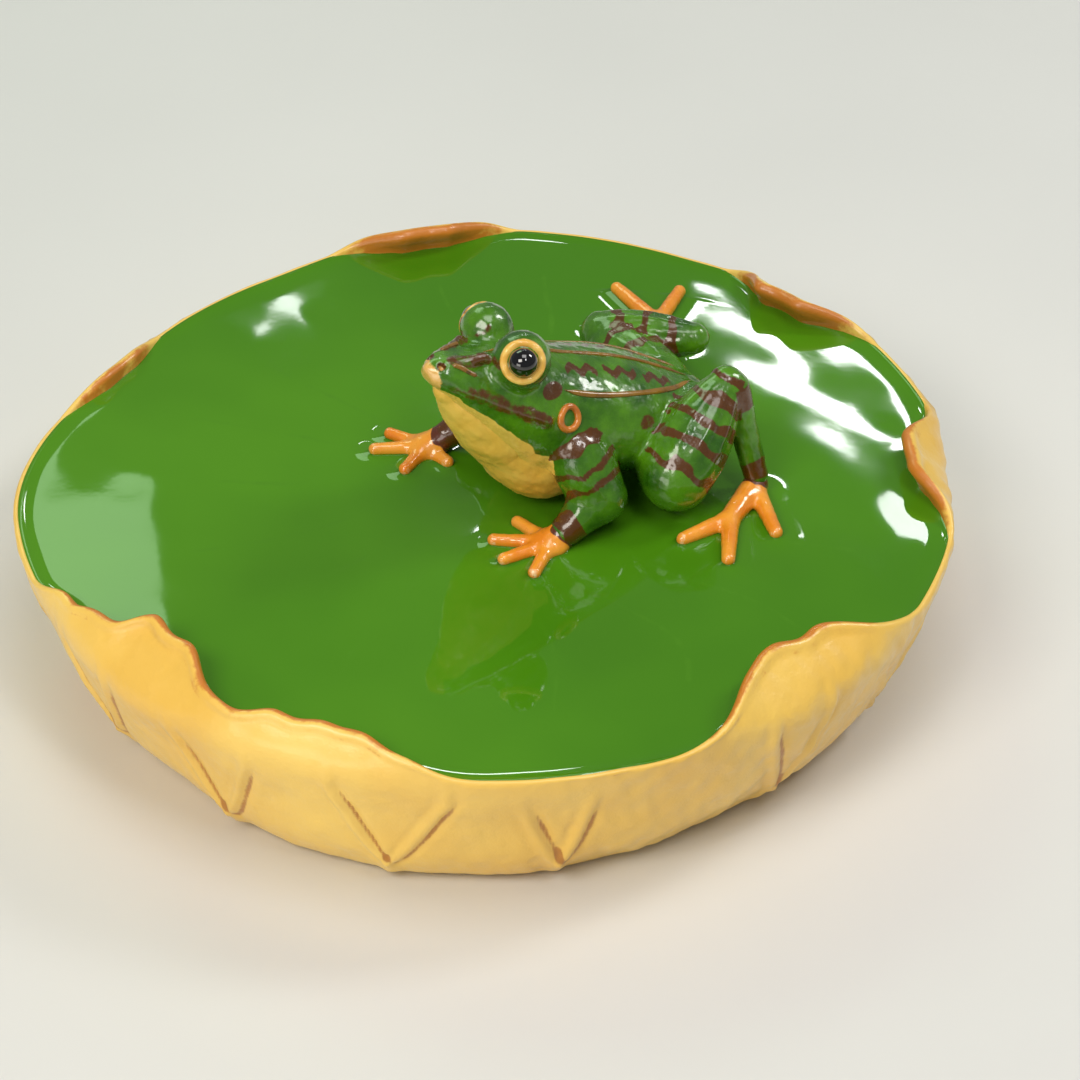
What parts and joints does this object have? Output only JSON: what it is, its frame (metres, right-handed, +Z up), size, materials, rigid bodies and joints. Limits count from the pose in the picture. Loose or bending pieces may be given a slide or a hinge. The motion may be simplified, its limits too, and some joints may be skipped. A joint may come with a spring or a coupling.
{
  "type": "frog and lotus leaf figurine",
  "caption": "Tea-tray figurine: a pond frog with bead eyes sits on green resin poured into a wavy-rimmed clay lotus leaf.",
  "frame": {"origin": "centre of the leaf's flat foot, on the surface that it stands on", "axes": "+Z up; -Y is the side from which the frog's left flank shows; the frog faces towards -X and a little -Y"},
  "size_m": [0.0992, 0.098, 0.0414],
  "materials": {
    "leaf_clay": "unglazed ochre clay burnished to a soft sheen, with rusty brown rim lips",
    "pool_resin": "clear green casting resin, cured with a wet gloss",
    "frog_green": "green glaze with brown patches over a finely bumped skin",
    "throat_yellow": "warm yellow glaze, satin",
    "foot_orange": "orange glaze, glossy",
    "eye_ring_cream": "cream yellow glaze, glossy",
    "eye_glass": "opaque black glass bead, mirror polished",
    "stripe_orange": "orange-brown slip line under the glaze"
  },
  "bodies": {
    "root": {"leaf_dish": "leaf_clay", "resin_pool": "pool_resin", "frog_body": "frog_green", "frog_throat": "throat_yellow", "foreleg_left": "frog_green", "foreleg_right": "frog_green", "forefoot_left": "foot_orange", "forefoot_right": "foot_orange", "thigh_left": "frog_green", "thigh_right": "frog_green", "shank_left": "frog_green", "shank_right": "frog_green", "tarsus_left": "frog_green", "tarsus_right": "frog_green", "hindfoot_left": "foot_orange", "hindfoot_right": "foot_orange", "eye_ring_left": "eye_ring_cream", "eye_ring_right": "eye_ring_cream", "eye_bead_left": "eye_glass", "eye_bead_right": "eye_glass", "ear_ring_left": "stripe_orange", "ear_ring_right": "stripe_orange", "dorsal_stripe": "stripe_orange", "side_fold_left": "stripe_orange", "side_fold_right": "stripe_orange", "snout_stripe_left": "stripe_orange", "snout_stripe_right": "stripe_orange"}
  },
  "joints": []
}
